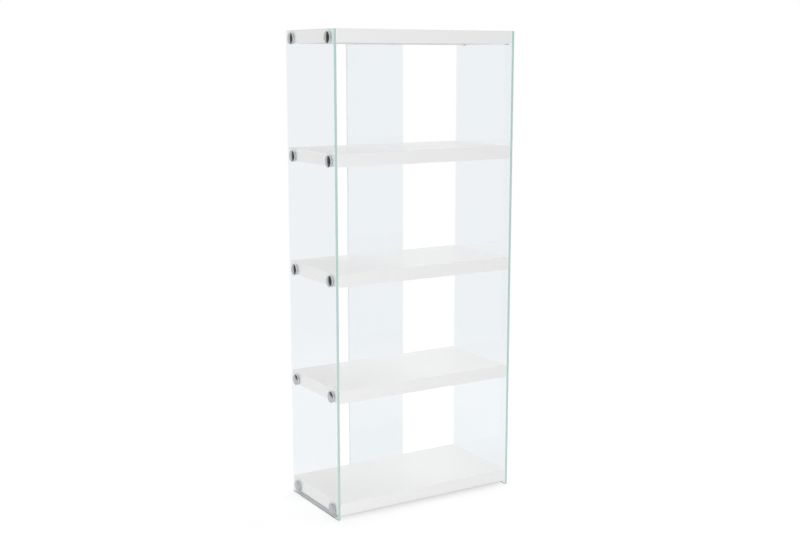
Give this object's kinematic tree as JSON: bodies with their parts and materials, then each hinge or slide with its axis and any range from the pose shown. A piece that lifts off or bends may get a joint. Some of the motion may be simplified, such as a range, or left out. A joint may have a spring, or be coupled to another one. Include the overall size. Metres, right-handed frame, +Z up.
{
  "type": "etagere bookcase",
  "caption": "Tall open bookcase: thick glossy white shelves bolted between full-height clear glass side panels, with a narrow clear glass back panel.",
  "frame": {"origin": "on the floor, at the centre of the whole outline, bolt heads included", "axes": "+Z up, +Y towards the back, where the narrow glass panel is, +X to the right when facing the front"},
  "size_m": [0.622, 0.313, 1.414],
  "materials": {
    "clear_glass": "polished, green at the edges",
    "white_lacquer": "high-gloss white lacquer on board",
    "core_paper": "raw kraft paper",
    "bolt_chrome": "polished",
    "clear_plastic": "clear, smooth",
    "insert_steel": "zinc plated"
  },
  "bodies": {
    "root": {"left_glass_panel": "clear_glass", "right_glass_panel": "clear_glass", "back_glass_panel": "clear_glass", "bottom_shelf_bottom_skin": "white_lacquer", "bottom_shelf_top_skin": "white_lacquer", "bottom_shelf_left_rail": "white_lacquer", "bottom_shelf_right_rail": "white_lacquer", "bottom_shelf_front_rail": "white_lacquer", "bottom_shelf_back_rail": "white_lacquer", "bottom_shelf_core": "core_paper", "lower_shelf_bottom_skin": "white_lacquer", "lower_shelf_top_skin": "white_lacquer", "lower_shelf_left_rail": "white_lacquer", "lower_shelf_right_rail": "white_lacquer", "lower_shelf_front_rail": "white_lacquer", "lower_shelf_back_rail": "white_lacquer", "lower_shelf_core": "core_paper", "middle_shelf_bottom_skin": "white_lacquer", "middle_shelf_top_skin": "white_lacquer", "middle_shelf_left_rail": "white_lacquer", "middle_shelf_right_rail": "white_lacquer", "middle_shelf_front_rail": "white_lacquer", "middle_shelf_back_rail": "white_lacquer", "middle_shelf_core": "core_paper", "upper_shelf_bottom_skin": "white_lacquer", "upper_shelf_top_skin": "white_lacquer", "upper_shelf_left_rail": "white_lacquer", "upper_shelf_right_rail": "white_lacquer", "upper_shelf_front_rail": "white_lacquer", "upper_shelf_back_rail": "white_lacquer", "upper_shelf_core": "core_paper", "top_shelf_bottom_skin": "white_lacquer", "top_shelf_top_skin": "white_lacquer", "top_shelf_left_rail": "white_lacquer", "top_shelf_right_rail": "white_lacquer", "top_shelf_front_rail": "white_lacquer", "top_shelf_back_rail": "white_lacquer", "top_shelf_core": "core_paper", "left_bolts": "bolt_chrome", "left_outer_washers": "clear_plastic", "left_glass_bushes": "clear_plastic", "left_inner_washers": "clear_plastic", "left_shelf_inserts": "insert_steel", "right_bolts": "bolt_chrome", "right_outer_washers": "clear_plastic", "right_glass_bushes": "clear_plastic", "right_inner_washers": "clear_plastic", "right_shelf_inserts": "insert_steel", "back_bolts": "bolt_chrome", "back_outer_washers": "clear_plastic", "back_glass_bushes": "clear_plastic", "back_inner_washers": "clear_plastic", "back_shelf_inserts": "insert_steel"}
  },
  "joints": []
}
